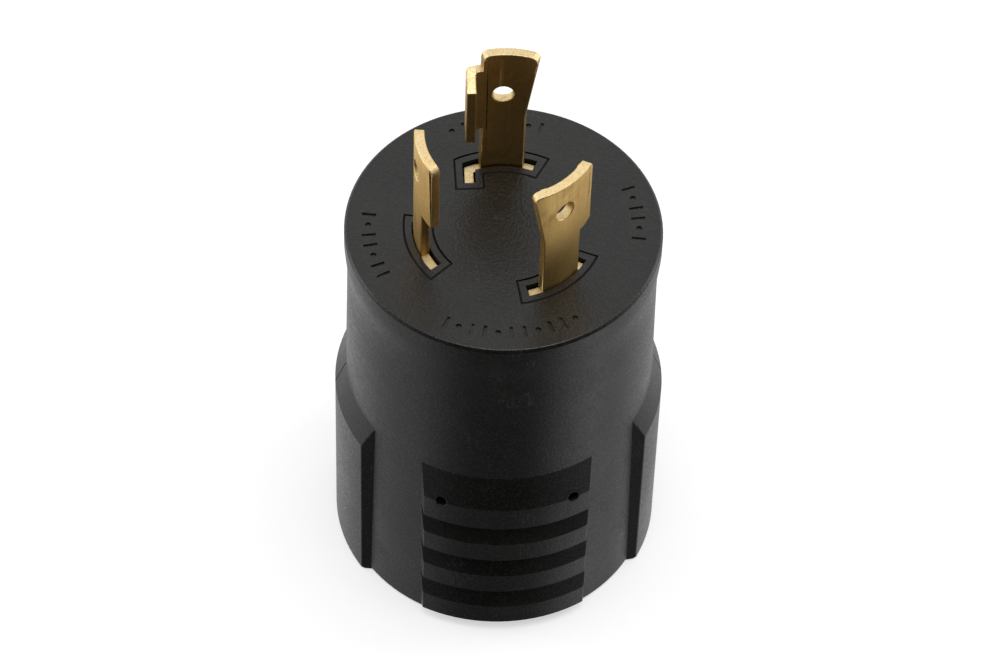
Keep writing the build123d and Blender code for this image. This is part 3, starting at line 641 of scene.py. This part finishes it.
class ADAPTER_OT_carriers(bpy.types.Operator):
    """Finishes the two carriers and the nylon parts between them"""

    bl_idname = "adapter.carriers"
    bl_label = "Carriers"

    def execute(self, context):
        wanted = context.scene.adapter_carriers
        size, depth = wanted.grain_size, wanted.grain_depth
        # the carriers get painted shade on their walls and chamfers
        black = moulded_plastic("carrier_grained", tuple(wanted.colour), size, depth, 0.24, painted_slope_shade=True)
        dress(CARRIERS, black)
        nylon = moulded_plastic("nylon_natural", tuple(wanted.nylon), size, depth * 0.4, 0.4, 0.05)
        dress(NYLON_PARTS, nylon)
        return {"FINISHED"}


class ADAPTER_OT_blades(bpy.types.Operator):
    """Makes the three blades with tumbled edges in stained rolled brass"""

    bl_idname = "adapter.blades"
    bl_label = "Blades"

    def execute(self, context):
        wanted = context.scene.adapter_blades
        brass, tarnish, sheared = tuple(wanted.brass), tuple(wanted.tarnish), tuple(wanted.sheared)
        bright = strip_metal("brass_rolled", brass, tarnish, sheared, 0.34)
        # painted highlight: the neutral and hot blades get brass 1.18 times paler than the ground blade,
        # standing in for the light on their faces; their satin finish is the higher roughness
        painted_lit_satin = strip_metal("brass_satin_painted_light", shade_of(brass, 1.18), tarnish, sheared, 0.44, stain_share=0.3)

        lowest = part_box("jacket")[1][2] - HIDDEN_DEPTH

        def bare(start, end):
            """All of the radius on edges that show, and none deep in the carrier."""
            return 1.0 * (np.minimum(start[:, 2], end[:, 2]) > lowest)

        for node in BLADES:
            # the neutral and hot blades take the paler brass with its painted highlight
            finish = bright if node == "ground_blade" else painted_lit_satin
            radius, steps = wanted.edge_round, wanted.round_steps
            rounded(node, node + "_rounded", radius, steps, bare, finish)
        return {"FINISHED"}


class ADAPTER_OT_contacts(bpy.types.Operator):
    """Finishes the fixed contacts, the sprung leaves and their backing springs"""

    bl_idname = "adapter.contacts"
    bl_label = "Contacts"

    def execute(self, context):
        wanted = context.scene.adapter_contacts
        for part, name, colour, roughness in (
            ("contact", "contact_brass_rolled", tuple(wanted.brass), 0.34),
            ("leaf", "bronze_rolled", tuple(wanted.bronze), 0.32),
            ("spring", "steel_rolled", tuple(wanted.steel), 0.3),
        ):
            material = strip_metal(name, colour, shade_of(colour, 0.5), shade_of(colour, 1.15), roughness)
            dress([f"{wire}_{part}" for wire in CONTACT_NAMES], material)
        return {"FINISHED"}


class ADAPTER_OT_wiring(bpy.types.Operator):
    """Finishes the conductors, their insulation and the crimp bands"""

    bl_idname = "adapter.wiring"
    bl_label = "Wiring"

    def execute(self, context):
        wanted = context.scene.adapter_wiring
        copper, tin = tuple(wanted.copper), tuple(wanted.tin)
        dull, fresh = shade_of(copper, 0.45), shade_of(copper, 1.1)
        bright = strip_metal("copper_drawn", copper, dull, fresh, 0.34, 0.0004)
        tinned = strip_metal("tin_plated", tin, shade_of(tin, 0.6), shade_of(tin, 1.15), 0.36, 0.0003, 0.4)
        dress([f"{wire}_wire" for wire in WIRE_NAMES], bright)
        dress(["blade_crimps", "contact_crimps"], tinned)
        for nodes, name, colour in (
            (["ground_insulation"], "green_extruded", tuple(wanted.green)),
            (["neutral_insulation"], "white_extruded", tuple(wanted.white)),
            (["hot_insulation", "bridge_insulation"], "black_extruded", tuple(wanted.black)),
        ):
            dress(nodes, moulded_plastic(name, colour, 0.45 * MM, 0.01 * MM, 0.34, 0.05))
        return {"FINISHED"}


def sheet_of(name, across, along, place):
    """A grid surface: place(u, v) gives the points for u and v from 0 to 1, and each cell is one quad."""
    u, v = np.meshgrid(np.linspace(0.0, 1.0, across + 1), np.linspace(0.0, 1.0, along + 1))
    points = np.stack(place(u, v), axis=-1).reshape(-1, 3)
    index = np.arange((across + 1) * (along + 1)).reshape(along + 1, across + 1)
    corners = [index[:-1, :-1], index[:-1, 1:], index[1:, 1:], index[1:, :-1]]
    quads = np.stack(corners, axis=-1).reshape(-1, 4)
    mesh = bpy.data.meshes.new(name)
    mesh.from_pydata(points.tolist(), [], quads.tolist())
    mesh.shade_smooth()
    sheet = bpy.data.objects.new(name, mesh)
    bpy.context.scene.collection.objects.link(sheet)
    return sheet


def softbox(name, power, width, height, place, aim):
    """A rectangular lamp at a place, turned to an aim."""
    lamp = bpy.data.lights.new(name, "AREA")
    lamp.shape = "RECTANGLE"
    lamp.size = width
    lamp.size_y = height
    lamp.energy = power
    holder = bpy.data.objects.new(name, lamp)
    holder.location = place
    holder.rotation_euler = (Vector(aim) - Vector(place)).to_track_quat("-Z", "Y").to_euler()
    bpy.context.scene.collection.objects.link(holder)
    return holder


def floor_material(colour):
    """Pale floor: it is seen and shaded from above, and clear from below."""
    material = bpy.data.materials.new("floor_pale")
    material.use_nodes = True
    material.node_tree.nodes.clear()
    make = Finish(material.node_tree)
    tone = make.noise(make.node("ShaderNodeTexCoord").outputs["Object"], 6.0, 2.0)
    matt = make.node("ShaderNodeBsdfDiffuse")
    make.link(make.blend(tone, shade_of(colour, 0.985), shade_of(colour, 1.015)), matt.inputs["Color"])
    path = make.node("ShaderNodeLightPath")
    lift = make.node("ShaderNodeEmission", {"Color": (1.0, 1.0, 1.0, 1.0)})
    seen = make.maths("ADD", path.outputs["Is Camera Ray"], path.outputs["Is Transmission Ray"], clamp=True)
    make.link(make.maths("MULTIPLY", seen, 0.56), lift.inputs["Strength"])
    both = make.node("ShaderNodeAddShader")
    make.link(matt.outputs[0], both.inputs[0])
    make.link(lift.outputs[0], both.inputs[1])
    clear = make.node("ShaderNodeBsdfTransparent")
    side = make.node("ShaderNodeNewGeometry")
    mix = make.node("ShaderNodeMixShader")
    make.link(side.outputs["Backfacing"], mix.inputs["Fac"])
    make.link(both.outputs[0], mix.inputs[1])
    make.link(clear.outputs[0], mix.inputs[2])
    output = make.node("ShaderNodeOutputMaterial")
    make.link(mix.outputs[0], output.inputs["Surface"])
    return material


def studio_world():
    """White backdrop behind and at the sides of the object, and a dim room in front of it."""
    world = bpy.data.worlds.new("studio")
    world.use_nodes = True
    world.node_tree.nodes.clear()
    make = Finish(world.node_tree)
    axes = make.node("ShaderNodeSeparateXYZ")
    make.link(make.node("ShaderNodeTexCoord").outputs["Generated"], axes.inputs[0])
    side = make.maths("MULTIPLY", make.maths("ABSOLUTE", axes.outputs["X"]), 0.5)
    backdrop = make.between(make.maths("ADD", axes.outputs["Y"], side), -0.42, 0.75, 0.0, 0.95)
    backdrop = make.maths("MULTIPLY", backdrop, make.between(axes.outputs["Z"], -0.7, 0.0, 0.66, 1.0))
    table = make.between(axes.outputs["Z"], -0.8, -0.2, 1.0, 0.05)
    aside = make.maths("MAXIMUM", axes.outputs["X"], make.maths("MULTIPLY", axes.outputs["X"], -0.8))
    table = make.maths("MULTIPLY", table, make.between(aside, 0.2, 0.7, 0.1, 0.95))
    table = make.maths("MULTIPLY", table, make.between(axes.outputs["Y"], -0.3, 0.2, 1.0, 0.36))
    mirrored = make.maths("MAXIMUM", backdrop, table)
    lit = make.between(backdrop, 0.0, 0.95, 0.2, 0.6, smooth=False)
    path = make.node("ShaderNodeLightPath")
    shiny = make.maths("ADD", path.outputs["Is Glossy Ray"], path.outputs["Is Transmission Ray"], clamp=True)
    strength = make.node("ShaderNodeMix", data_type="FLOAT")
    make.link(shiny, strength.inputs["Factor"])
    make.link(lit, strength.inputs[2])
    make.link(mirrored, strength.inputs[3])
    light = make.node("ShaderNodeBackground", {"Color": (1.0, 1.0, 1.0, 1.0)})
    seen = make.maths("MAXIMUM", strength.outputs[0], path.outputs["Is Camera Ray"])
    make.link(seen, light.inputs["Strength"])
    output = make.node("ShaderNodeOutputWorld")
    make.link(light.outputs[0], output.inputs["Surface"])
    return world


class ADAPTER_OT_stage(bpy.types.Operator):
    """Sets the floor, the softboxes, the world and the camera"""

    bl_idname = "adapter.stage"
    bl_label = "Stage"

    def execute(self, context):
        wanted = context.scene.adapter_stage
        scene = context.scene

        def disc(u, v):
            reach, turn = 3.0 * u**2, 2.0 * math.pi * v
            return reach * np.cos(turn), reach * np.sin(turn), np.full_like(u, CAD_LOW.z - 0.0001)

        floor = sheet_of("floor", 24, 64, disc)
        floor.data.materials.append(floor_material(tuple(wanted.floor)))
        floor.visible_shadow = False
        floor.visible_glossy = False
        aim = Vector((0.0, 0.0, wanted.aim_height))
        softbox("key_softbox", wanted.key_power, 0.6, 0.5, (0.05, -0.12, 0.9), aim)
        softbox("left_softbox", wanted.side_power, 0.25, 0.8, (-0.62, 0.16, 0.3), aim)
        softbox("right_softbox", wanted.side_power, 0.25, 0.8, (0.62, 0.16, 0.3), aim)
        under = softbox("under_softbox", wanted.key_power * 0.4, 0.5, 0.5, (0.1, -0.3, -0.8), aim)
        under.visible_glossy = False
        scene.world = studio_world()
        back = Vector(
            (
                -math.sin(wanted.azimuth) * math.cos(wanted.elevation),
                -math.cos(wanted.azimuth) * math.cos(wanted.elevation),
                math.sin(wanted.elevation),
            )
        )
        lens = bpy.data.cameras.new("camera")
        lens.lens = wanted.lens
        lens.sensor_width = 36.0
        lens.clip_start = 0.01
        camera = bpy.data.objects.new("camera", lens)
        camera.location = aim + back * wanted.distance
        upright = (-back).to_track_quat("-Z", "Y")
        camera.rotation_euler = (upright @ Quaternion((0.0, 0.0, 1.0), wanted.roll)).to_euler()
        scene.collection.objects.link(camera)
        scene.camera = camera
        scene.view_settings.view_transform = "Standard"
        return {"FINISHED"}


class ADAPTER_PT_looks(bpy.types.Panel):
    """Lists the operators and the values that they use"""

    bl_idname = "ADAPTER_PT_looks"
    bl_label = "Locking Adapter"
    bl_space_type = "VIEW_3D"
    bl_region_type = "UI"
    bl_category = "Adapter"

    def draw(self, context):
        for step, holder, _ in STEPS:
            box = self.layout.box()
            box.operator(step.bl_idname)
            group = getattr(context.scene, holder)
            for field in group.__annotations__:
                box.prop(group, field)


STEPS = (
    (ADAPTER_OT_jacket, "adapter_jacket", JacketSettings),
    (ADAPTER_OT_carriers, "adapter_carriers", CarrierSettings),
    (ADAPTER_OT_blades, "adapter_blades", BladeSettings),
    (ADAPTER_OT_contacts, "adapter_contacts", ContactSettings),
    (ADAPTER_OT_wiring, "adapter_wiring", WiringSettings),
    (ADAPTER_OT_stage, "adapter_stage", StageSettings),
)


def register():
    for step, holder, settings in STEPS:
        bpy.utils.register_class(settings)
        bpy.utils.register_class(step)
        setattr(bpy.types.Scene, holder, PointerProperty(type=settings))
    bpy.utils.register_class(ADAPTER_PT_looks)


def unregister():
    bpy.utils.unregister_class(ADAPTER_PT_looks)
    for step, holder, settings in reversed(STEPS):
        delattr(bpy.types.Scene, holder)
        bpy.utils.unregister_class(step)
        bpy.utils.unregister_class(settings)


def main():
    """Registers the add-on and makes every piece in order."""
    register()
    bpy.ops.adapter.jacket()
    bpy.ops.adapter.carriers()
    bpy.ops.adapter.blades()
    bpy.ops.adapter.contacts()
    bpy.ops.adapter.wiring()
    bpy.ops.adapter.stage()


if __name__ == "__main__":
    main()
